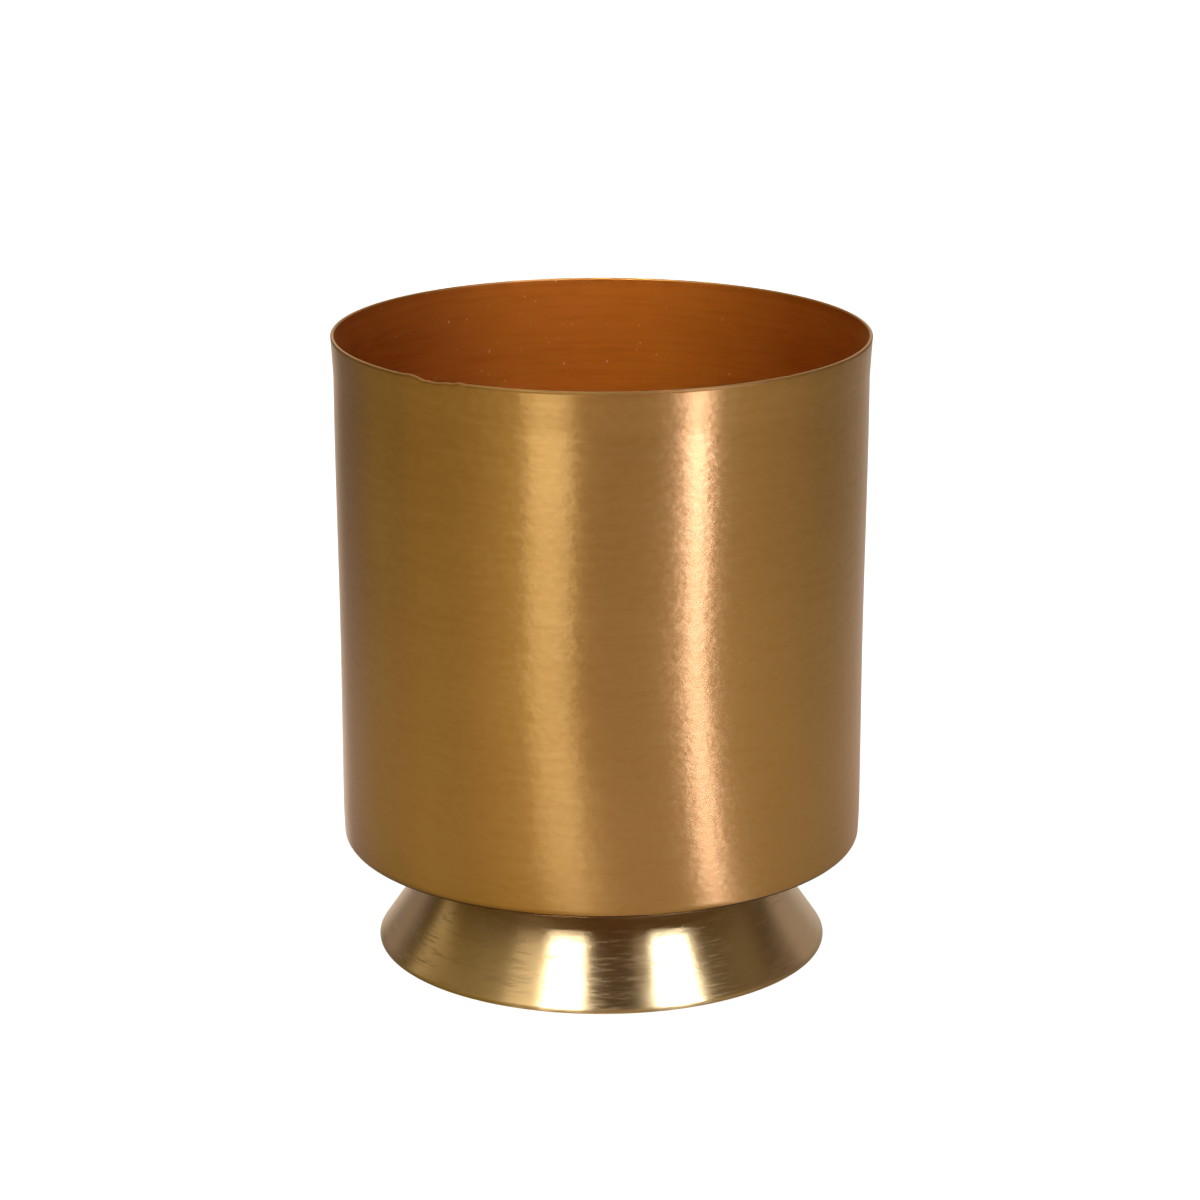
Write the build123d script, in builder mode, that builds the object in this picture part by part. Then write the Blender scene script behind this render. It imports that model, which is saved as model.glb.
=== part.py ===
from build123d import *
import math
import os

# Footed brass planter pot: a straight spun cup bolted onto a spun cone foot.
# Millimetres, +Z up, origin at the centre of the circle the foot stands on.

# ---- driving dimensions ----
TOTAL_HEIGHT = 180.0
POT_RADIUS = 75.0            # outside of the straight wall
POT_FLOOR_Z = 31.8           # underside of the pot's floor
FOOT_BASE_RADIUS = 65.9      # where the cone's side would meet the ground
FOOT_TOP_RADIUS = 44.7       # where the cone's side would meet the top of the foot
SHEET = 1.0                  # both shells are spun from the same sheet
SCREW_RADIUS = 2.5           # M5
SCREW_LENGTH = 16.0
SCREW_HOLE_RADIUS = 2.75

# ---- pot shell ----
LIP_FLARE = 1.1              # how far the lip stands out past the wall
LIP_HEIGHT = 14.0            # the flare starts this far below the top
LIP_BAND = 1.0               # upright band at the very top
LIP_ROUND = 0.4
FLOOR_CORNER = 2.5           # outside radius between floor and wall
DRAW_IN = 0.4                # the wall leans in by this at the corner
DRAW_IN_HEIGHT = 13.0        # and is upright from this far above the floor

# ---- foot shell ----
WEB_CORNER = 2.0             # outside radius between the top web and the cone
BASE_CORNER = 1.2            # outside radius of the base edge
BASE_LIP_RADIUS = 59.0       # the base is turned in to here

# ---- rubber ----
GASKET_RADIUS = 40.0
GASKET_THICKNESS = 0.8
SEAL_RADIUS = 9.0
SEAL_THICKNESS = 1.5

# ---- M5 fastening: brass screw and penny washer inside the pot, steel below ----
HEAD_RADIUS = 4.75
HEAD_HEIGHT = 3.0
HEAD_ROUND = 1.6
SLOT_WIDTH = 1.2
SLOT_DEPTH = 1.2
TIP_CHAMFER = 0.6
WASHER_HOLE_RADIUS = 2.65
PENNY_RADIUS = 10.0
PENNY_THICKNESS = 1.2
PLAIN_RADIUS = 5.0
PLAIN_THICKNESS = 1.0
SPRING_RADIUS = 4.6
SPRING_THICKNESS = 1.2
SPRING_GAP = 1.0
SPRING_GAP_TILT = 20.0       # degrees from upright
NUT_ACROSS_FLATS = 8.0
NUT_HEIGHT = 4.0
NUT_CHAMFER_ANGLE = 30.0     # degrees
NUT_FACE_SHARE = 0.95        # the flat face's diameter, as a share of the width across flats

# ---- levels, from the foot's top web outwards ----
foot_top = POT_FLOOR_Z - GASKET_THICKNESS
seal_bottom = POT_FLOOR_Z + SHEET
penny_bottom = seal_bottom + SEAL_THICKNESS
head_bottom = penny_bottom + PENNY_THICKNESS
plain_bottom = foot_top - SHEET - PLAIN_THICKNESS
spring_bottom = plain_bottom - SPRING_THICKNESS
nut_bottom = spring_bottom - NUT_HEIGHT

os.makedirs("parts", exist_ok=True)


def flat_ring(bottom, thickness, outer_radius, hole_radius):
    """A flat round washer or gasket on the Z axis."""
    with BuildPart() as ring:
        with BuildSketch(Plane.XY.offset(bottom)):
            Circle(outer_radius)
            Circle(hole_radius, mode=Mode.SUBTRACT)
        extrude(amount=thickness)
    return ring


def arc_radius(run, rise):
    """Radius of the arc that starts upright and moves `run` sideways over `rise`."""
    return (run**2 + rise**2) / (2 * run)


# ---- pot shell: the outside outline, thickened inwards and spun round Z ----
wall_bottom = (POT_RADIUS, POT_FLOOR_Z + DRAW_IN_HEIGHT)
wall_top = (POT_RADIUS, TOTAL_HEIGHT - LIP_HEIGHT)
band_bottom = (POT_RADIUS + LIP_FLARE, TOTAL_HEIGHT - LIP_BAND)
flare_middle = ((wall_top[0] + band_bottom[0]) / 2, (wall_top[1] + band_bottom[1]) / 2)
draw_in_arc = arc_radius(DRAW_IN, DRAW_IN_HEIGHT)
flare_arc = arc_radius(LIP_FLARE / 2, (LIP_HEIGHT - LIP_BAND) / 2)

with BuildPart() as pot_shell:
    with BuildSketch(Plane.XZ):
        with BuildLine() as pot_outline:
            floor = Line((SCREW_HOLE_RADIUS, POT_FLOOR_Z), (POT_RADIUS - DRAW_IN, POT_FLOOR_Z))
            RadiusArc(floor @ 1, wall_bottom, -draw_in_arc)
            Line(wall_bottom, wall_top)
            RadiusArc(wall_top, flare_middle, flare_arc)
            RadiusArc(flare_middle, band_bottom, -flare_arc)
            Line(band_bottom, (band_bottom[0], TOTAL_HEIGHT))
            fillet(pot_outline.vertices().sort_by_distance(floor @ 1)[0], FLOOR_CORNER)
            offset(amount=SHEET, side=Side.LEFT)
        make_face()
    revolve(axis=Axis.Z)
    fillet(pot_shell.faces().sort_by(Axis.Z)[-1].edges(), LIP_ROUND)
pot_shell.part.label = "pot_shell"
export_step(pot_shell.part, "parts/pot_shell.step")


# ---- foot shell: web, cone and turned-in base, thickened inwards and spun round Z ----
with BuildPart() as foot_shell:
    with BuildSketch(Plane.XZ):
        with BuildLine() as foot_outline:
            Polyline(
                (SCREW_HOLE_RADIUS, foot_top),
                (FOOT_TOP_RADIUS, foot_top),
                (FOOT_BASE_RADIUS, 0),
                (BASE_LIP_RADIUS, 0),
            )
            fillet(foot_outline.vertices().sort_by(Axis.X)[-1], BASE_CORNER)
            fillet(foot_outline.vertices().group_by(Axis.Y)[-1].sort_by(Axis.X)[-1], WEB_CORNER)
            offset(amount=SHEET, side=Side.RIGHT)
        make_face()
    revolve(axis=Axis.Z)
foot_shell.part.label = "foot_shell"
export_step(foot_shell.part, "parts/foot_shell.step")


# ---- rubber gasket between the pot's floor and the foot's web ----
foot_gasket = flat_ring(foot_top, GASKET_THICKNESS, GASKET_RADIUS, SCREW_HOLE_RADIUS)
foot_gasket.part.label = "foot_gasket"
export_step(foot_gasket.part, "parts/foot_gasket.step")


# ---- rubber sealing washer on the pot's floor, tight on the screw ----
sealing_washer = flat_ring(seal_bottom, SEAL_THICKNESS, SEAL_RADIUS, SCREW_RADIUS)
sealing_washer.part.label = "sealing_washer"
export_step(sealing_washer.part, "parts/sealing_washer.step")


# ---- brass penny washer under the screw's head ----
screw_washer = flat_ring(penny_bottom, PENNY_THICKNESS, PENNY_RADIUS, WASHER_HOLE_RADIUS)
screw_washer.part.label = "screw_washer"
export_step(screw_washer.part, "parts/screw_washer.step")


# ---- slotted pan-head screw, down through floor and web ----
with BuildPart() as fixing_screw:
    with BuildSketch(Plane.XY.offset(head_bottom)):
        Circle(HEAD_RADIUS)
    extrude(amount=HEAD_HEIGHT)
    fillet(fixing_screw.edges().sort_by(Axis.Z)[-1], HEAD_ROUND)
    with BuildSketch(Plane.XY.offset(head_bottom)):
        Circle(SCREW_RADIUS)
    extrude(amount=-SCREW_LENGTH)
    chamfer(fixing_screw.edges().sort_by(Axis.Z)[0], TIP_CHAMFER)
    with BuildSketch(Plane.XY.offset(head_bottom + HEAD_HEIGHT)):
        Rectangle(2 * HEAD_RADIUS, SLOT_WIDTH)
    extrude(amount=-SLOT_DEPTH, mode=Mode.SUBTRACT)
fixing_screw.part.label = "fixing_screw"
export_step(fixing_screw.part, "parts/fixing_screw.step")


# ---- plain washer under the foot's web ----
plain_washer = flat_ring(plain_bottom, PLAIN_THICKNESS, PLAIN_RADIUS, WASHER_HOLE_RADIUS)
plain_washer.part.label = "plain_washer"
export_step(plain_washer.part, "parts/plain_washer.step")


# ---- split spring washer, pressed flat, its gap cut on a slant ----
gap_lean = SPRING_THICKNESS * math.tan(math.radians(SPRING_GAP_TILT))
spring_top = spring_bottom + SPRING_THICKNESS

with BuildPart() as spring_washer:
    with BuildSketch(Plane.XY.offset(spring_bottom)):
        Circle(SPRING_RADIUS)
        Circle(WASHER_HOLE_RADIUS, mode=Mode.SUBTRACT)
    extrude(amount=SPRING_THICKNESS)
    with BuildSketch(Plane.YZ):
        Polygon(
            (0, spring_bottom),
            (SPRING_GAP, spring_bottom),
            (SPRING_GAP + gap_lean, spring_top),
            (gap_lean, spring_top),
            align=None,
        )
    extrude(amount=SPRING_RADIUS, mode=Mode.SUBTRACT)
spring_washer.part.label = "spring_washer"
export_step(spring_washer.part, "parts/spring_washer.step")


# ---- hexagon nut, both faces chamfered ----
nut_corner_radius = NUT_ACROSS_FLATS / math.sqrt(3)
nut_face_radius = NUT_FACE_SHARE * NUT_ACROSS_FLATS / 2
nut_chamfer = (nut_corner_radius - nut_face_radius) * math.tan(math.radians(NUT_CHAMFER_ANGLE))
nut_top = nut_bottom + NUT_HEIGHT

with BuildPart() as hex_nut:
    with BuildSketch(Plane.XY.offset(nut_bottom)):
        RegularPolygon(nut_corner_radius, 6)
        Circle(SCREW_RADIUS, mode=Mode.SUBTRACT)
    extrude(amount=NUT_HEIGHT)
    with BuildSketch(Plane.XZ):
        Polygon(
            (0, nut_bottom),
            (nut_face_radius, nut_bottom),
            (nut_corner_radius, nut_bottom + nut_chamfer),
            (nut_corner_radius, nut_top - nut_chamfer),
            (nut_face_radius, nut_top),
            (0, nut_top),
            align=None,
        )
    revolve(axis=Axis.Z, mode=Mode.INTERSECT)
hex_nut.part.label = "hex_nut"
export_step(hex_nut.part, "parts/hex_nut.step")
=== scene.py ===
import math

import bmesh
import bpy
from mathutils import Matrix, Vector


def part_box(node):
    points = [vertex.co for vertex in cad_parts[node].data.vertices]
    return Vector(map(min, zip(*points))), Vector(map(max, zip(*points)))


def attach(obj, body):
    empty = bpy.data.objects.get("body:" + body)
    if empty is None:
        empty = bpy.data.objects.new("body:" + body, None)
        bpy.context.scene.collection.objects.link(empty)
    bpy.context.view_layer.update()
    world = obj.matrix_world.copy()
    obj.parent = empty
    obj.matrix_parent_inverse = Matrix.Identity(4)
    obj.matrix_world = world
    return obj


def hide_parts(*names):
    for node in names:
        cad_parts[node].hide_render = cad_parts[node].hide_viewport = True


# The looks of the footed brass planter pot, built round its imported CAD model.
# Metres, +Z up, the same frame as the CAD. Angles round the pot are measured from the
# front (-Y, where the camera stands) and grow towards +X.

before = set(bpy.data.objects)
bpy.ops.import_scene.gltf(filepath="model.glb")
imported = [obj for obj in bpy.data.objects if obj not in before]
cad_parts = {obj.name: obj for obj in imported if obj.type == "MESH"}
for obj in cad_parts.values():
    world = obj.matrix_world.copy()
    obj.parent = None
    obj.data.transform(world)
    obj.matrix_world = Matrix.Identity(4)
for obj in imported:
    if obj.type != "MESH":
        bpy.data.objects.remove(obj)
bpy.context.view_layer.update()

MM = 0.001
pot_low, pot_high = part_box("pot_shell")
foot_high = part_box("foot_shell")[1]

# ---- driving dimensions ----
SHEET = 1.0 * MM              # both shells
LIP_FLARE = 0.68 * MM         # the lip stands out this much from the wall below it
SCREW_HOLE = 2.75 * MM
WALL = pot_high.x - LIP_FLARE
TOP = pot_high.z
FLOOR = pot_low.z
FOOT_TOP = foot_high.z

# ---- fineness of the spun skins ----
SPIN_STEPS = 600              # facets round each shell
CORNER_STEPS = 8              # bands round each small corner
FLAT_BANDS = 8                # bands across each flat disc
WALL_BANDS = 36               # bands up the plain wall
LIP_BANDS = 30                # bands up the flared lip
CONE_BANDS = 30               # bands up the foot's cone
BESIDE = 0.5 * MM             # a ring this close to a corner keeps the sheet beside it straight


# ---------------------------------------------------------------- shapes

def smooth(t):
    """0 below 0, 1 above 1, and an even S between."""
    t = min(max(t, 0.0), 1.0)
    return t * t * (3 - 2 * t)


def arc(centre, radius, start, end, count):
    """Points on an arc of the outline, from start to end degrees."""
    points = []
    for i in range(count + 1):
        a = math.radians(start + (end - start) * i / count)
        points.append((centre[0] + radius * math.cos(a), centre[1] + radius * math.sin(a)))
    return points


def line(start, end, count):
    """Points along a straight run of the outline, its end left out."""
    return [
        (start[0] + (end[0] - start[0]) * i / count, start[1] + (end[1] - start[1]) * i / count)
        for i in range(count)
    ]


def spin(name, outline, zone_of, bend=None):
    """Spins a closed outline of (radius, height) points round Z into one closed skin.

    zone_of(i) is the material slot of the band that starts at point i. bend(angle, radius, height)
    may move a point. The distance along the outline is kept in the "arc" attribute, so that a
    material can draw lines that run round the piece.
    """
    mesh = bpy.data.meshes.new(name)
    count = len(outline)
    along = [0.0]
    for a, b in zip(outline, outline[1:]):
        along.append(along[-1] + math.dist(a, b))
    points = []
    for step in range(SPIN_STEPS):
        angle = 2 * math.pi * step / SPIN_STEPS
        for radius, height in outline:
            if bend:
                radius, height = bend(angle, radius, height)
            points.append((radius * math.sin(angle), -radius * math.cos(angle), height))
    faces = []
    zones = []
    for step in range(SPIN_STEPS):
        here, there = step * count, (step + 1) % SPIN_STEPS * count
        for i in range(count):
            j = (i + 1) % count
            faces.append((here + i, there + i, there + j, here + j))
            zones.append(zone_of(i))
    mesh.from_pydata(points, [], faces)
    mesh.polygons.foreach_set("material_index", zones)
    mesh.polygons.foreach_set("use_smooth", [True] * len(faces))
    distance = mesh.attributes.new("arc", "FLOAT", "POINT")
    distance.data.foreach_set("value", along * SPIN_STEPS)
    outwards = bmesh.new()
    outwards.from_mesh(mesh)
    if outwards.calc_volume(signed=True) < 0:
        bmesh.ops.reverse_faces(outwards, faces=outwards.faces)
    outwards.to_mesh(mesh)
    outwards.free()
    piece = bpy.data.objects.new(name, mesh)
    bpy.context.scene.collection.objects.link(piece)
    return piece


# ---- pot shell ----
DRAW_IN = 0.4 * MM            # the wall leans in this much at the floor corner
DRAW_IN_HEIGHT = 13.0 * MM
WAIST = 0.68 * MM             # the wall is this much slimmer low down
WAIST_FROM = 82.0 * MM
WAIST_TO = 162.0 * MM
LIP_HEIGHT = 13.0 * MM        # the flare starts this far below the top
LIP_BEND = 3.0 * MM           # and reaches its full slope over this height
FLOOR_CORNER = 2.5 * MM
EDGE_ROUND = 0.42 * MM
SHADED_CORNER_BANDS = 5         # the underside, dull and painted dark as shade, runs this far up the floor corner

# the knock in the lip, left of the front, and two nicks: angle, width (degrees), depth (down)
KNOCK_HEIGHT = 3.0 * MM       # the knocks die out this far below the top
KNOCK_INWARDS = 0.35          # how far a knock goes in, as a share of its depth
LIP_KNOCKS = [
    (-42.6, 1.5, -0.32 * MM),
    (-39.0, 1.0, 0.42 * MM),
    (-36.0, 3.0, 0.85 * MM),
    (-31.6, 0.9, 0.30 * MM),
    (-29.8, 0.8, -0.24 * MM),
    (-28.2, 0.6, 0.15 * MM),
    (9.0, 0.8, 0.14 * MM),
    (41.5, 0.8, 0.12 * MM),
]


def wall_radius(height):
    """Outside radius of the pot's wall, with its lean at the bottom and its flare at the top."""
    lean = DRAW_IN * max(0.0, 1 - (height - FLOOR) / DRAW_IN_HEIGHT) ** 2
    waist = WAIST * (1 - smooth((height - WAIST_FROM) / (WAIST_TO - WAIST_FROM)))
    risen = max(0.0, height - TOP + LIP_HEIGHT)
    bend = min(risen, LIP_BEND) ** 2 / (2 * LIP_BEND)
    flare = LIP_FLARE * (bend + max(0.0, risen - LIP_BEND)) / (LIP_HEIGHT - LIP_BEND / 2)
    return WALL - lean - waist + flare


def wall_heights(low, high):
    """Heights for the wall's rings: few on the plain wall, many in the lip."""
    lip_low, lip_high = high - LIP_HEIGHT, high - EDGE_ROUND
    plain = [low + (lip_low - low) * i / WALL_BANDS for i in range(WALL_BANDS)]
    lip = [lip_low + (lip_high - lip_low) * i / LIP_BANDS for i in range(LIP_BANDS)]
    return plain + lip


def pot_outline():
    """The closed section of the pot's shell, in three runs: outside, lip edge and inside."""
    corner_z = FLOOR + FLOOR_CORNER
    corner_r = wall_radius(corner_z) - FLOOR_CORNER
    floor_top = FLOOR + SHEET
    heights = wall_heights(corner_z + BESIDE, TOP)
    lip_r = wall_radius(TOP)
    edge_z = TOP - EDGE_ROUND
    outside = line((SCREW_HOLE, FLOOR), (corner_r, FLOOR), FLAT_BANDS)
    outside += arc((corner_r, corner_z), FLOOR_CORNER, -90, 0, CORNER_STEPS)
    outside += [(wall_radius(z), z) for z in heights]
    edge = arc((lip_r - EDGE_ROUND, edge_z), EDGE_ROUND, 0, 90, CORNER_STEPS)
    edge += arc((lip_r - SHEET + EDGE_ROUND, edge_z), EDGE_ROUND, 90, 180, CORNER_STEPS)
    inside = [(wall_radius(z) - SHEET, z) for z in reversed(heights)]
    inside += arc((corner_r, corner_z), FLOOR_CORNER - SHEET, 0, -90, CORNER_STEPS)
    inside += line((corner_r - BESIDE, floor_top), (SCREW_HOLE, floor_top), FLAT_BANDS)
    inside.append((SCREW_HOLE, floor_top))
    return outside, edge, inside


def knock_lip(angle, radius, height):
    """Small dents and burrs where the thin lip has been knocked."""
    reach = smooth((height - TOP + KNOCK_HEIGHT) / KNOCK_HEIGHT)
    if reach > 0:
        degrees = (math.degrees(angle) + 180) % 360 - 180
        for at, width, depth in LIP_KNOCKS:
            near = math.exp(-((degrees - at) / width) ** 2)
            height -= depth * near * reach
            radius -= KNOCK_INWARDS * depth * near * reach
    return radius, height


def make_pot():
    """The pot's skin. Its material slots: 0 outside, 1 lip edge, 2 inside, 3 underside, painted dark
    as shade.
    """
    outside, edge, inside = pot_outline()
    outside_starts = FLAT_BANDS + SHADED_CORNER_BANDS
    edge_starts = len(outside) - 1
    inside_starts = edge_starts + len(edge)

    def zone_of(i):
        if i < outside_starts:
            return 3
        if i < edge_starts:
            return 0
        return 1 if i < inside_starts else 2

    return spin("pot_skin", outside + edge + inside, zone_of, knock_lip)


# ---- foot shell ----
FOOT_RIM = foot_high.x        # widest, at the base
WEB_CORNER = 2.0 * MM
BASE_CORNER = 1.2 * MM
BASE_LIP = 59.0 * MM
CONE_BASE = 65.9 * MM         # where the cone's side would meet the ground
CONE_TOP = 44.7 * MM          # and the top of the foot
CONE_ANGLE = math.atan2(CONE_BASE - CONE_TOP, FOOT_TOP)   # from upright


def foot_outline():
    """The closed section of the foot's shell, in two runs: web, cone and base lip; back inside."""
    tilt = math.degrees(CONE_ANGLE)
    web_bottom = FOOT_TOP - SHEET
    base_centre = (FOOT_RIM - BASE_CORNER, BASE_CORNER)
    side = (
        base_centre[0] + BASE_CORNER * math.cos(CONE_ANGLE),
        base_centre[1] + BASE_CORNER * math.sin(CONE_ANGLE),
    )
    # the cone meets the web's corner circle where both have the same slope
    corner_z = FOOT_TOP - WEB_CORNER
    rise = corner_z + WEB_CORNER * math.sin(CONE_ANGLE) - side[1]
    corner_r = side[0] - rise * math.tan(CONE_ANGLE) - WEB_CORNER * math.cos(CONE_ANGLE)
    web_centre = (corner_r, corner_z)

    outside = line((SCREW_HOLE, FOOT_TOP), (corner_r, FOOT_TOP), FLAT_BANDS)
    outside += arc(web_centre, WEB_CORNER, 90, tilt, CORNER_STEPS)
    cone_top = outside.pop()
    outside += line(cone_top, side, CONE_BANDS)
    outside += arc(base_centre, BASE_CORNER, tilt, -90, CORNER_STEPS)
    outside += line((base_centre[0] - BESIDE, 0.0), (BASE_LIP + SHEET / 2, 0.0), FLAT_BANDS)
    outside += arc((BASE_LIP + SHEET / 2, SHEET / 2), SHEET / 2, -90, -270, CORNER_STEPS)

    inside = line((BASE_LIP + SHEET, SHEET), (base_centre[0], SHEET), FLAT_BANDS)
    inside += arc(base_centre, BASE_CORNER - SHEET, -90, tilt, CORNER_STEPS)
    cone_foot = inside.pop()
    inner_corner = arc(web_centre, WEB_CORNER - SHEET, tilt, 90, CORNER_STEPS)
    inside += line(cone_foot, inner_corner[0], CONE_BANDS)
    inside += inner_corner
    inside += line((corner_r - BESIDE, web_bottom), (SCREW_HOLE, web_bottom), FLAT_BANDS)
    inside.append((SCREW_HOLE, web_bottom))
    return outside, inside


def make_foot():
    """The foot's skin. Its material slots: 0 outside, 1 inside."""
    outside, inside = foot_outline()

    def zone_of(i):
        return 0 if i < len(outside) else 1

    return spin("foot_skin", outside + inside, zone_of)


# ---------------------------------------------------------------- materials

# the mix node's sockets for colours; those between are for its other types of data
COLOUR_INPUTS = (6, 7)
COLOUR_OUTPUT = 2


class Nodes:
    """Short ways to fill one node tree."""

    def __init__(self, tree):
        self.tree = tree
        self.tree.nodes.clear()

    def set(self, socket, value):
        """Links a socket to another one, or gives it a plain value."""
        if isinstance(value, bpy.types.NodeSocket):
            self.tree.links.new(value, socket)
        else:
            socket.default_value = value

    def add(self, kind, **inputs):
        """A new node, its inputs given by name, with _ for a space."""
        node = self.tree.nodes.new(kind)
        for name, value in inputs.items():
            self.set(node.inputs[name.replace("_", " ")], value)
        return node

    def maths(self, operation, *values):
        """One sum on numbers or sockets."""
        node = self.tree.nodes.new("ShaderNodeMath")
        node.operation = operation
        for socket, value in zip(node.inputs, values):
            self.set(socket, value)
        return node.outputs[0]

    def span(self, value, low, high, to_low, to_high):
        """Carries a value from one range to another, held at both ends."""
        node = self.add(
            "ShaderNodeMapRange",
            Value=value,
            From_Min=low,
            From_Max=high,
            To_Min=to_low,
            To_Max=to_high,
        )
        return node.outputs[0]

    def mix(self, share, first, second):
        """Two colours mixed, share being how much of the second."""
        node = self.tree.nodes.new("ShaderNodeMix")
        node.data_type = "RGBA"
        for socket, value in zip((0, *COLOUR_INPUTS), (share, first, second)):
            self.set(node.inputs[socket], value)
        return node.outputs[COLOUR_OUTPUT]

    def noise(self, vector, scale=1.0, detail=2.0, roughness=0.5):
        """Soft random values round 0.5, seldom below 0.3 or above 0.7."""
        node = self.add(
            "ShaderNodeTexNoise",
            Vector=vector,
            Scale=scale,
            Detail=detail,
            Roughness=roughness,
        )
        return node.outputs["Fac"]

    def around(self, per_metre_round, per_metre_across):
        """A place on a spun piece, stretched so that noise on it runs in lines round the piece."""
        place = self.add("ShaderNodeTexCoord").outputs["Object"]
        parts = self.add("ShaderNodeSeparateXYZ", Vector=place)
        arc_node = self.tree.nodes.new("ShaderNodeAttribute")
        arc_node.attribute_name = "arc"
        x = self.maths("MULTIPLY", parts.outputs["X"], per_metre_round)
        y = self.maths("MULTIPLY", parts.outputs["Y"], per_metre_round)
        z = self.maths("MULTIPLY", arc_node.outputs["Fac"], per_metre_across)
        return self.add("ShaderNodeCombineXYZ", X=x, Y=y, Z=z).outputs[0]

    def ramp(self, share, stops):
        """A ramp of colours round the room, each stop at its azimuth in degrees."""
        node = self.add("ShaderNodeValToRGB", Fac=share)
        elements = node.color_ramp.elements
        while len(elements) < len(stops):
            elements.new(0.5)
        for element, (azimuth, colour) in zip(elements, stops):
            element.position = azimuth / 360 + 0.5
            element.color = (*colour, 1)
        return node.outputs[0]

    def both(self, first, second):
        """Two shaders added together."""
        node = self.tree.nodes.new("ShaderNodeAddShader")
        self.tree.links.new(first.outputs[0], node.inputs[0])
        self.tree.links.new(second.outputs[0], node.inputs[1])
        return node.outputs[0]

    def surface(self, shader):
        """Makes a shader the material's surface."""
        out = self.tree.nodes.new("ShaderNodeOutputMaterial")
        self.tree.links.new(shader, out.inputs["Surface"])


def new_material(name):
    """A material and its empty node tree, ready to fill."""
    material = bpy.data.materials.new(name)
    material.use_nodes = True
    return material, Nodes(material.node_tree)


def rgb(red, green, blue):
    """An opaque colour for a node."""
    return (red, green, blue, 1.0)


LEVEL_LINES = 0.25            # a quarter turn lays the brush lines level round the piece
SKEW_FROM = 98.0 * MM         # height below which the brush lines start to run askew
SKEW_TO = 30.0 * MM           # and where they are furthest askew
LIP_WEAR_AND_SHADE = 3.2 * MM           # how far down from the lip the metal wears dull and is painted darker as shade
WEAR_DULLS = 0.07             # roughness that the wear adds
WEAR_AND_SHADE_DARKENS = 0.5            # and the share of the dark colour it adds: partly wear, partly painted shade below the lip
LEAST_WEAR_AND_SHADE = 0.35             # share of the wear and painted shade left where it is weakest
PATCHES = 28                  # tarnish patches per metre
PATCH_SHARE = 0.3             # share of the tarnish that follows them, the rest follows the marks
SPECKS = 850                  # places per metre where a speck of dust may lie
DUST = rgb(0.85, 0.60, 0.36)

# where on its noise each effect begins and where it is full
WEAR_AND_SHADE_SPAN = (0.60, 0.30)
TARNISH_SPAN = (0.62, 0.38)
DEEP_MARK_SPAN = (0.50, 0.68)
SPECK_SPAN = (0.82, 0.88)


def brushed(name, colour, dark, rough, stretch, streak, tarnish, lines, dashes, bump,
            skew=0.0, dust=0.0):
    """Metal brushed round the piece.

    colour and dark are the clean and the tarnished metal, rough its least roughness, stretch how
    much further light spreads across the brush lines than along them, streak how much rougher the
    deepest lines are, tarnish how much of the dark colour shows. lines and dashes are the two
    sizes of brush mark: marks per metre round the piece and across it. bump is the depth of the
    short ones. skew is how far, in turns, the lines run askew at the very bottom. dust is how
    much the odd pale speck shows.
    """
    material, n = new_material(name)
    place = n.add("ShaderNodeTexCoord").outputs["Object"]
    height = n.add("ShaderNodeSeparateXYZ", Vector=place).outputs["Z"]
    long_marks = n.noise(n.around(*lines))
    short_marks = n.noise(n.around(*dashes))
    patches = n.noise(place, scale=PATCHES, detail=4.0)
    marks = n.maths("MULTIPLY", n.maths("ADD", long_marks, short_marks), 0.5)

    # wear, and painted shade below the lip: worst at the lip, and uneven round it
    near_lip = n.span(height, TOP - LIP_WEAR_AND_SHADE, TOP - EDGE_ROUND, 0.0, 1.0)
    worn_and_shaded = n.maths("MULTIPLY", near_lip, n.span(patches, *WEAR_AND_SHADE_SPAN, LEAST_WEAR_AND_SHADE, 1.0))

    by_marks = n.maths("MULTIPLY", marks, 1 - PATCH_SHARE)
    by_patches = n.maths("MULTIPLY", patches, PATCH_SHARE)
    darkness = n.span(n.maths("ADD", by_marks, by_patches), *TARNISH_SPAN, 0.0, tarnish)
    # near the lip the colour darkens: partly wear, partly painted shade
    darkness = n.maths("ADD", darkness, n.maths("MULTIPLY", worn_and_shaded, WEAR_AND_SHADE_DARKENS))
    colour_out = n.mix(darkness, colour, dark)
    if dust:
        specks = n.noise(place, scale=SPECKS, detail=0.0)
        colour_out = n.mix(n.span(specks, *SPECK_SPAN, 0.0, dust), colour_out, DUST)

    roughness = n.maths("ADD", rough, n.span(marks, *DEEP_MARK_SPAN, 0.0, streak))
    roughness = n.maths("ADD", roughness, n.maths("MULTIPLY", worn_and_shaded, WEAR_DULLS))
    bumped = n.add("ShaderNodeBump", Strength=1.0, Distance=bump, Height=short_marks)

    turn = n.maths("ADD", LEVEL_LINES, n.span(height, SKEW_TO, SKEW_FROM, skew, 0.0))
    tangent = n.tree.nodes.new("ShaderNodeTangent")
    tangent.direction_type = "RADIAL"
    tangent.axis = "Z"
    metal = n.add(
        "ShaderNodeBsdfPrincipled",
        Base_Color=colour_out,
        Metallic=1.0,
        Roughness=roughness,
        Anisotropic=stretch,
        Anisotropic_Rotation=turn,
        Tangent=tangent.outputs[0],
        Normal=bumped.outputs[0],
    )
    n.surface(metal.outputs[0])
    return material


RINGS = 2600                  # lathe rings per metre
RING_DEPTH = 0.008 * MM
RING_SPAN = (0.60, 0.40)
RING_DARKENS = 0.2
BLOTCHES = 420                # blotches per metre
BLOTCH_SPAN = (0.42, 0.66)
BLOTCH_DARKENS = 0.3
BLOTCH_DULL_SPAN = (0.35, 0.65)
BLOTCH_DULLS = (-0.03, 0.08)  # roughness it adds, from clean to blotched


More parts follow.
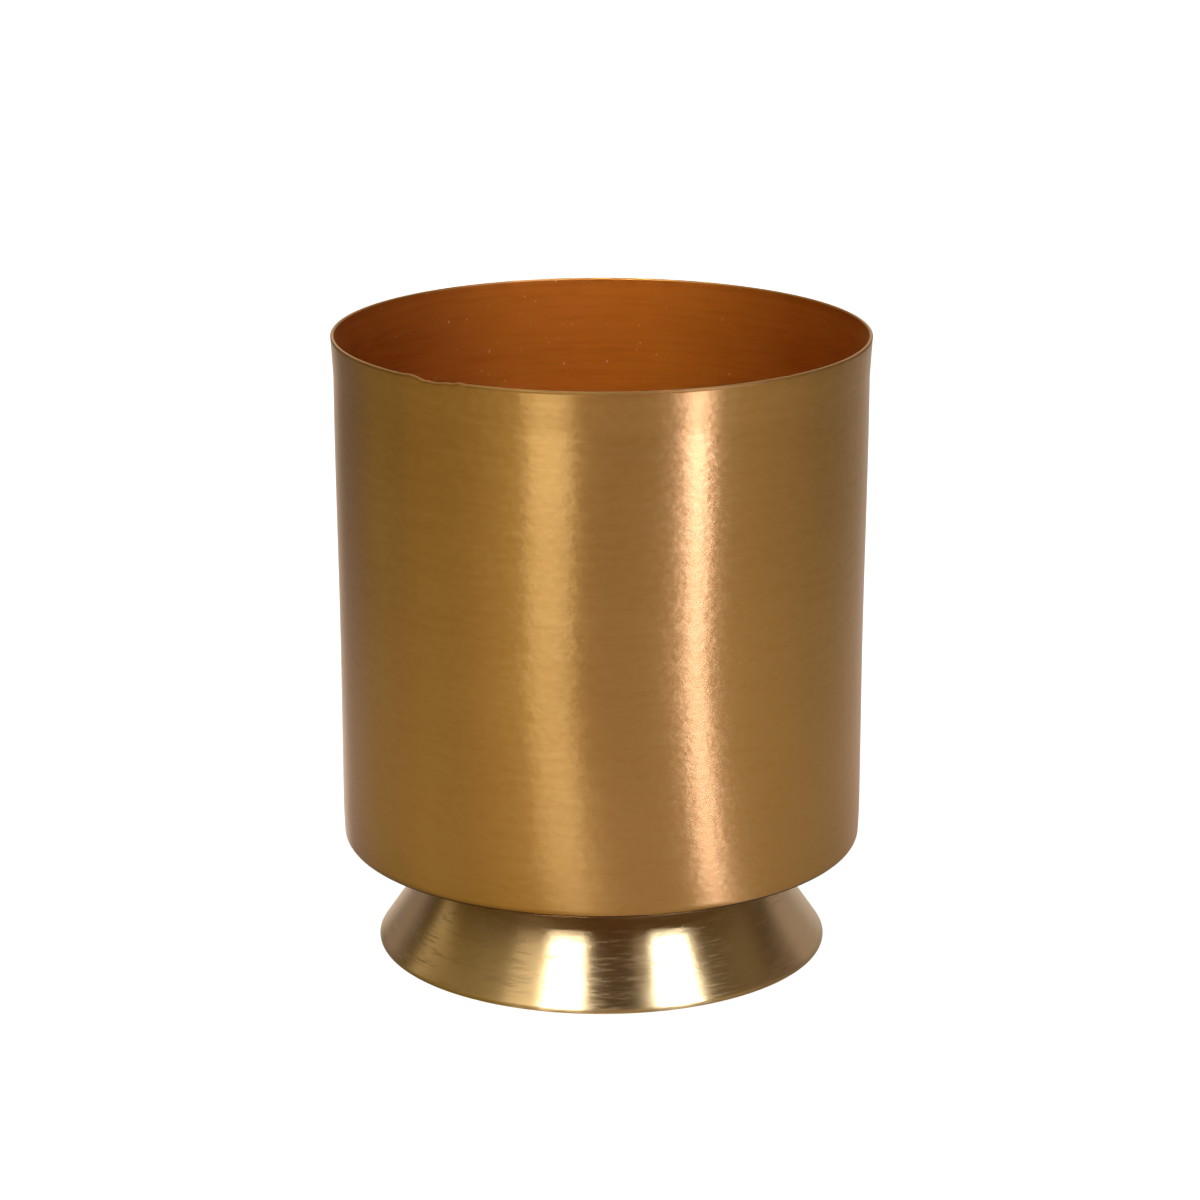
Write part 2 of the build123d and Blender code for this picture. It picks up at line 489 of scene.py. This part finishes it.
def turned(name, colour, dark, rough):
    """Metal turned on a lathe: fine rings round the upright axis under a blotchy surface."""
    material, n = new_material(name)
    place = n.add("ShaderNodeTexCoord").outputs["Object"]
    parts = n.add("ShaderNodeSeparateXYZ", Vector=place)
    flat = n.add("ShaderNodeCombineXYZ", X=parts.outputs["X"], Y=parts.outputs["Y"])
    reach = n.add("ShaderNodeVectorMath", Vector=flat.outputs[0])
    reach.operation = "LENGTH"
    section = n.add("ShaderNodeCombineXYZ", X=reach.outputs["Value"], Z=parts.outputs["Z"])
    rings = n.noise(section.outputs[0], scale=RINGS, detail=1.0)
    blotches = n.noise(place, scale=BLOTCHES, detail=4.0, roughness=0.6)
    blotched = n.span(blotches, *BLOTCH_SPAN, 0.0, BLOTCH_DARKENS)
    ringed = n.span(rings, *RING_SPAN, 0.0, RING_DARKENS)
    dullness = n.span(blotches, *BLOTCH_DULL_SPAN, *BLOTCH_DULLS)
    bumped = n.add("ShaderNodeBump", Strength=1.0, Distance=RING_DEPTH, Height=rings)
    metal = n.add(
        "ShaderNodeBsdfPrincipled",
        Base_Color=n.mix(n.maths("ADD", blotched, ringed), colour, dark),
        Metallic=1.0,
        Roughness=n.maths("ADD", rough, dullness),
        Normal=bumped.outputs[0],
    )
    n.surface(metal.outputs[0])
    return material


RUBBER_BLACK = rgb(0.018, 0.018, 0.019)
RUBBER_DUST = rgb(0.075, 0.070, 0.064)
RUBBER_DUSTY = 0.7            # share of the dust's colour where it lies thickest
GRAINS = 1800                 # grains per metre
GRAIN_DEPTH = 0.02 * MM
GRAIN_SPAN = (0.3, 0.7)
DUST_PATCHES = 260            # dusty patches per metre
DUST_SPAN = (0.48, 0.72)


def rubber(name):
    """Black rubber: matt, slightly uneven, with pale dust in it."""
    material, n = new_material(name)
    place = n.add("ShaderNodeTexCoord").outputs["Object"]
    grain = n.noise(place, scale=GRAINS, detail=3.0)
    patches = n.noise(place, scale=DUST_PATCHES, detail=4.0)
    dusty = n.span(patches, *DUST_SPAN, 0.0, RUBBER_DUSTY)
    bumped = n.add("ShaderNodeBump", Strength=1.0, Distance=GRAIN_DEPTH, Height=grain)
    skin = n.add(
        "ShaderNodeBsdfPrincipled",
        Base_Color=n.mix(dusty, RUBBER_BLACK, RUBBER_DUST),
        Roughness=n.span(grain, *GRAIN_SPAN, 0.55, 0.8),
        Normal=bumped.outputs[0],
    )
    n.surface(skin.outputs[0])
    return material


# ---------------------------------------------------------------- pieces

# the sizes of the brush marks: marks per metre round the piece and across it
BODY_MARKS = dict(lines=(60, 600), dashes=(340, 520))
FOOT_MARKS = dict(lines=(60, 1300), dashes=(210, 1500))
INSIDE_MARKS = dict(lines=(20, 600), dashes=(90, 900))

pot = make_pot()
for finish in (
    brushed(
        "pot_satin_brass",
        colour=rgb(0.90, 0.54, 0.18),
        dark=rgb(0.74, 0.40, 0.11),
        rough=0.32, stretch=0.93, streak=0.05, tarnish=0.50, bump=0.06 * MM, skew=0.046,
        **BODY_MARKS,
    ),
    brushed(
        "pot_edge_brass",
        colour=rgb(0.68, 0.39, 0.12),
        dark=rgb(0.50, 0.26, 0.06),
        rough=0.42, stretch=0.2, streak=0.05, tarnish=0.6, bump=0.04 * MM,
        **BODY_MARKS,
    ),
    brushed(
        "pot_inside_brass",
        colour=rgb(0.56, 0.185, 0.024),
        dark=rgb(0.44, 0.130, 0.012),
        rough=0.72, stretch=0.2, streak=0.08, tarnish=0.8, bump=0.06 * MM, dust=0.5,
        **INSIDE_MARKS,
    ),
    # the underside's near-black colour is painted shade, for the dark gap between the pot and the
    # foot
    brushed(
        "pot_underside_painted_shade",
        colour=rgb(0.20, 0.11, 0.04),
        dark=rgb(0.13, 0.065, 0.025),
        rough=0.50, stretch=0.2, streak=0.08, tarnish=0.6, bump=0.04 * MM,
        **INSIDE_MARKS,
    ),
):
    pot.data.materials.append(finish)
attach(pot, "root")
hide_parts("pot_shell")

foot = make_foot()
for finish in (
    brushed(
        "foot_polished_brass",
        colour=rgb(0.92, 0.655, 0.32),
        dark=rgb(0.76, 0.50, 0.21),
        rough=0.285, stretch=0.98, streak=0.21, tarnish=0.35, bump=0.01 * MM,
        **FOOT_MARKS,
    ),
    brushed(
        "foot_inside_brass",
        colour=rgb(0.80, 0.58, 0.32),
        dark=rgb(0.60, 0.40, 0.20),
        rough=0.42, stretch=0.5, streak=0.06, tarnish=0.4, bump=0.01 * MM,
        **FOOT_MARKS,
    ),
):
    foot.data.materials.append(finish)
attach(foot, "root")
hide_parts("foot_shell")

# the fixing parts keep their CAD shapes and get their own finishes
turned_brass = turned("screw_brass", rgb(0.86, 0.62, 0.28), rgb(0.60, 0.38, 0.14), rough=0.30)
zinc = turned("zinc_steel", rgb(0.62, 0.62, 0.60), rgb(0.36, 0.36, 0.35), rough=0.38)
black_rubber = rubber("black_rubber")
for node, finish in {
    "fixing_screw": turned_brass,
    "screw_washer": turned_brass,
    "plain_washer": zinc,
    "spring_washer": zinc,
    "hex_nut": zinc,
    "sealing_washer": black_rubber,
    "foot_gasket": black_rubber,
}.items():
    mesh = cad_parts[node].data
    mesh.materials.clear()
    mesh.materials.append(finish)


# ---------------------------------------------------------------- staging

def area_light(name, place, toward, width, height, power, colour, only, spread=180):
    """A soft light at place that faces toward and lights one piece only.

    spread is the cone that its light stays in, in degrees.
    """
    data = bpy.data.lights.new(name, "AREA")
    data.shape = "RECTANGLE"
    data.size = width
    data.size_y = height
    data.energy = power
    data.color = colour
    data.spread = math.radians(spread)
    lamp = bpy.data.objects.new(name, data)
    back = (Vector(place) - Vector(toward)).normalized()
    lamp.location = place
    lamp.rotation_euler = back.to_track_quat("Z", "Y").to_euler()
    lamp.visible_camera = False
    lit = bpy.data.collections.new(name)
    lit.objects.link(only)
    lamp.light_linking.receiver_collection = lit
    bpy.context.scene.collection.objects.link(lamp)


STRIP_DISTANCE = 1.3          # metres from the pot's axis to each strip light


def strip_light(name, azimuth, width, base, height, power, colour, only):
    """A tall light that stands azimuth degrees round from the front and faces the pot's axis."""
    a = math.radians(azimuth)
    middle = base + height / 2
    place = (STRIP_DISTANCE * math.sin(a), -STRIP_DISTANCE * math.cos(a), middle)
    area_light(name, place, (0, 0, middle), width, height, power, colour, only)


# What the metal mirrors all round the pot, by azimuth: the low room up to LOW_ROOM degrees above
# the ground, the high room from HIGH_ROOM degrees up.
LOW_ROOM, HIGH_ROOM = 4, 22
ROOM_LOW = [
    (-180, (1.00, 1.00, 1.00)),
    (-165, (0.60, 0.57, 0.56)),
    (-150, (0.16, 0.14, 0.145)),
    (-127, (0.15, 0.125, 0.12)),
    (-121, (0.165, 0.135, 0.055)),
    (-98, (0.17, 0.13, 0.04)),
    (-82, (0.22, 0.165, 0.055)),
    (-70, (0.20, 0.15, 0.045)),
    (-35, (0.30, 0.215, 0.07)),
    (0, (0.30, 0.225, 0.17)),
    (60, (0.33, 0.275, 0.19)),
    (100, (0.22, 0.18, 0.13)),
    (125, (0.18, 0.165, 0.14)),
    (145, (0.25, 0.23, 0.23)),
    (165, (0.48, 0.46, 0.46)),
    (180, (1.00, 1.00, 1.00)),
]
ROOM_HIGH = [
    (-180, (1.00, 1.00, 1.00)),
    (-160, (0.45, 0.41, 0.38)),
    (-139, (0.50, 0.44, 0.46)),
    (-132, (0.00, 0.00, 0.00)),
    (-120, (0.00, 0.00, 0.00)),
    (-114, (0.85, 0.75, 0.58)),
    (-104, (0.34, 0.28, 0.18)),
    (-94, (0.20, 0.16, 0.09)),
    (-60, (0.38, 0.34, 0.25)),
    (-42, (0.90, 0.85, 0.75)),
    (-6, (0.04, 0.03, 0.02)),
    (12, (0.04, 0.03, 0.02)),
    (75, (0.10, 0.08, 0.05)),
    (95, (0.18, 0.145, 0.10)),
    (108, (0.03, 0.02, 0.01)),
    (122, (0.02, 0.015, 0.01)),
    (130, (0.54, 0.45, 0.54)),
    (160, (0.54, 0.48, 0.52)),
    (180, (1.00, 1.00, 1.00)),
]


def make_world():
    """White to the camera; to the metal, a room that is dark in front and pale behind the pot."""
    world = bpy.data.worlds.new("studio")
    world.use_nodes = True
    n = Nodes(world.node_tree)
    way = n.add("ShaderNodeSeparateXYZ", Vector=n.add("ShaderNodeTexCoord").outputs["Generated"])
    azimuth = n.maths("ARCTAN2", way.outputs["X"], n.maths("MULTIPLY", way.outputs["Y"], -1))
    share = n.span(azimuth, -math.pi, math.pi, 0, 1)
    low, high = (math.sin(math.radians(level)) for level in (LOW_ROOM, HIGH_ROOM))
    rise = n.span(way.outputs["Z"], low, high, 0, 1)
    room = n.mix(rise, n.ramp(share, ROOM_LOW), n.ramp(share, ROOM_HIGH))
    seen = n.add("ShaderNodeLightPath").outputs["Is Camera Ray"]
    glow = n.add("ShaderNodeBackground", Color=n.mix(seen, room, rgb(1, 1, 1)))
    out = n.add("ShaderNodeOutputWorld")
    n.tree.links.new(glow.outputs[0], out.inputs["Surface"])
    bpy.context.scene.world = world


FLOOR_REACH = 8.0             # metres from the middle of the floor to its edges
FLOOR_SEEN = 0.95             # how bright the camera sees it
POOL = 0.28                   # how bright the floor round the pot looks in the metal
POOL_COLOUR = rgb(0.90, 0.82, 0.94)
POOL_FROM = 0.10              # metres from the pot's axis, out of its shade
POOL_REACH = 0.55             # where the pool has faded out


def make_floor():
    """A pale sweep of floor that takes a faint shadow.

    The camera sees it near white. The metal mirrors only a pool of it, close round the pot, on
    top of the room.
    """
    mesh = bpy.data.meshes.new("floor")
    corners = [(-1, -1), (1, -1), (1, 1), (-1, 1)]
    mesh.from_pydata([(x * FLOOR_REACH, y * FLOOR_REACH, 0) for x, y in corners], [], [(0, 1, 2, 3)])
    floor = bpy.data.objects.new("floor", mesh)
    bpy.context.scene.collection.objects.link(floor)
    material, n = new_material("floor_pale")
    place = n.add("ShaderNodeTexCoord").outputs["Object"]
    ray = n.add("ShaderNodeLightPath")
    tone = n.mix(n.noise(place, scale=3.0), rgb(0.80, 0.80, 0.80), rgb(0.84, 0.84, 0.84))
    matte = n.add("ShaderNodeBsdfDiffuse", Color=tone)
    seen = n.maths("MULTIPLY", ray.outputs["Is Camera Ray"], FLOOR_SEEN)
    white = n.add("ShaderNodeEmission", Color=rgb(1, 1, 1), Strength=seen)

    away = n.add("ShaderNodeVectorMath", Vector=place)
    away.operation = "LENGTH"
    out_of_shade = n.span(away.outputs["Value"], POOL_FROM, 2 * POOL_FROM, 0.0, 1.0)
    fading = n.span(away.outputs["Value"], POOL_FROM, POOL_REACH, POOL, 0.0)
    glow = n.maths("MULTIPLY", out_of_shade, fading)
    pool = n.add("ShaderNodeEmission", Color=POOL_COLOUR, Strength=glow)
    clear = n.add("ShaderNodeBsdfTransparent")

    to_eye = n.both(matte, white)
    to_metal = n.both(pool, clear)
    split = n.add("ShaderNodeMixShader", Fac=ray.outputs["Is Glossy Ray"])
    n.tree.links.new(to_eye, split.inputs[1])
    n.tree.links.new(to_metal, split.inputs[2])
    n.surface(split.outputs[0])
    floor.data.materials.append(material)


CAMERA_PLACE = (-0.00045, -1.0805, 0.4129)
CAMERA_PITCH = 16.083         # degrees down from level
CAMERA_LENS = 117.8           # mm, on a 36 mm sensor


def make_camera():
    """Stands in front, a little above, and looks down on the pot through a long lens."""
    data = bpy.data.cameras.new("camera")
    data.sensor_width = 36.0
    data.lens = CAMERA_LENS
    camera = bpy.data.objects.new("camera", data)
    camera.location = CAMERA_PLACE
    camera.rotation_euler = (math.radians(90 - CAMERA_PITCH), 0, 0)
    bpy.context.scene.collection.objects.link(camera)
    bpy.context.scene.camera = camera


# how far above the ground each kind of strip light starts, and how tall it is, in metres
KEY = dict(base=0.02, height=1.5)
LOW = dict(base=0.70, height=0.36)
HIGH = dict(base=1.06, height=1.5)


def make_lights():
    """Two strips light the pot, six steep ones the foot, and a narrow beam the pot's inside."""
    strip_light("key_left", azimuth=-21.5, width=0.41, power=3.7, colour=(0.80, 0.88, 1.0),
                only=pot, **KEY)
    strip_light("key_right", azimuth=39.5, width=0.175, power=11.3, colour=(0.52, 0.52, 0.93),
                only=pot, **KEY)

    # Each highlight on the foot comes from a low strip and a tall one above it, both bluish, so
    # that the yellow metal shines nearly white. A dim, wide strip gives it its soft borders.
    left_tint, right_tint, halo_tint = (0.80, 0.86, 1.0), (0.70, 0.79, 1.0), (0.95, 0.90, 0.85)
    strip_light("foot_left_low", azimuth=-21.5, width=0.48, power=19, colour=left_tint,
                only=foot, **LOW)
    strip_light("foot_left_high", azimuth=-21.8, width=0.30, power=19, colour=left_tint,
                only=foot, **HIGH)
    strip_light("foot_left_halo", azimuth=-42.0, width=0.56, power=0.8, colour=halo_tint,
                only=foot, **LOW)
    strip_light("foot_right_low", azimuth=43.5, width=0.52, power=21, colour=right_tint,
                only=foot, **LOW)
    strip_light("foot_right_high", azimuth=44.0, width=0.33, power=20, colour=right_tint,
                only=foot, **HIGH)
    strip_light("foot_right_halo", azimuth=41.0, width=1.0, power=1.05, colour=halo_tint,
                only=foot, **LOW)

    area_light("inside_beam", place=(0.0, -0.55, 1.2), toward=(0, WALL, 0.12), width=0.05,
               height=0.05, power=0.05, colour=(1.0, 0.92, 0.82), only=pot, spread=10)


make_world()
make_floor()
make_camera()
make_lights()
bpy.context.scene.view_settings.view_transform = "Standard"
